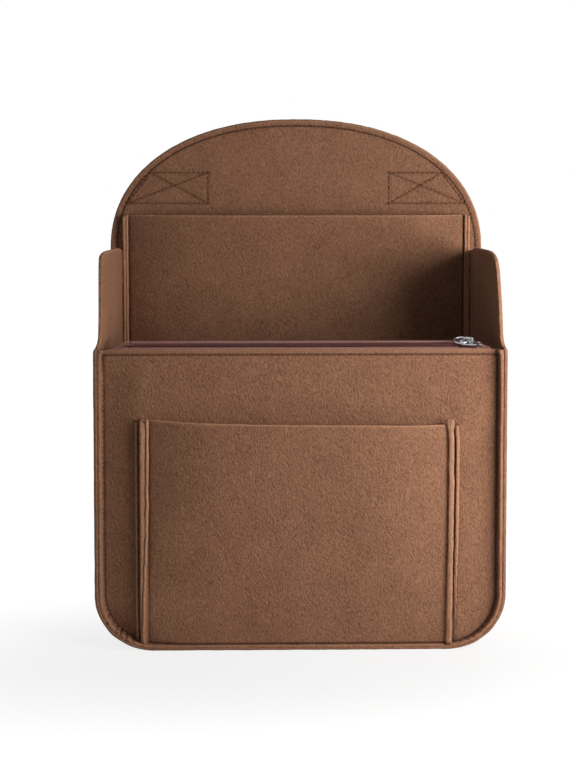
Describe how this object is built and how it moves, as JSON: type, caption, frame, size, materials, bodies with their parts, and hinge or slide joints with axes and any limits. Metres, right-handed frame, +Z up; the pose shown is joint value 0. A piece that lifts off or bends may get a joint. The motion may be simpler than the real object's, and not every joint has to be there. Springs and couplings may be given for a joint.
{
  "type": "purse organizer insert",
  "caption": "Felt purse organizer insert: open box with arched back, rounded side ears, zipped front pocket, flat outer pocket, tall inner pocket and back strap.",
  "frame": {"origin": "middle of the base, at the level that the insert stands on", "axes": "+X to the right seen from the front, +Y from the front wall to the arched back, +Z up"},
  "size_m": [0.264, 0.1406, 0.335],
  "materials": {
    "felt": "brown pressed felt, matt and slightly fuzzy",
    "strap": "brown woven webbing, matt",
    "zip_tape": "mauve brown woven tape, matt",
    "zip_coil": "dark red nylon coil, satin",
    "zip_metal": "nickel plated, polished",
    "thread": "brown sewing thread, satin"
  },
  "bodies": {
    "organizer": {"front_panel": "felt", "front_pocket": "felt", "gusset_strip": "felt", "back_panel_shell": "felt", "back_panel_lining": "felt", "rear_pocket": "felt", "zip_pocket_panel": "felt", "back_strap": "strap", "zip_front_tape": "zip_tape", "zip_rear_tape": "zip_tape", "zip_front_coil": "zip_coil", "zip_rear_coil": "zip_coil", "zip_front_top_stop": "zip_metal", "zip_rear_top_stop": "zip_metal", "zip_bottom_stop": "zip_metal", "front_seam_outer_stitching": "thread", "front_seam_inner_stitching": "thread", "flange_stitching": "thread", "back_edge_stitching": "thread", "arch_edge_stitching": "thread", "front_hem_stitching": "thread", "zip_hem_stitching": "thread", "front_pocket_stitching_left": "thread", "front_pocket_stitching_right": "thread", "rear_pocket_stitching_left": "thread", "rear_pocket_stitching_right": "thread", "strap_stitching_left": "thread", "strap_stitching_right": "thread", "strap_stitching_inside_left": "thread", "strap_stitching_inside_right": "thread"},
    "slider": {"zip_slider": "zip_metal"},
    "pull_ring": {"zip_pull_ring": "zip_metal"}
  },
  "joints": [
    {"name": "zip_slide", "type": "slide", "parent": "organizer", "child": "slider", "axis": [-1, 0, 0], "range_m": [0, 0.204]},
    {"name": "pull_ring_flip", "type": "hinge", "parent": "slider", "child": "pull_ring", "pos_m": [0.10508, -0.05073, 0.19295], "axis": [0, 0.9613, 0.2756], "range_deg": [0, 188]}
  ]
}
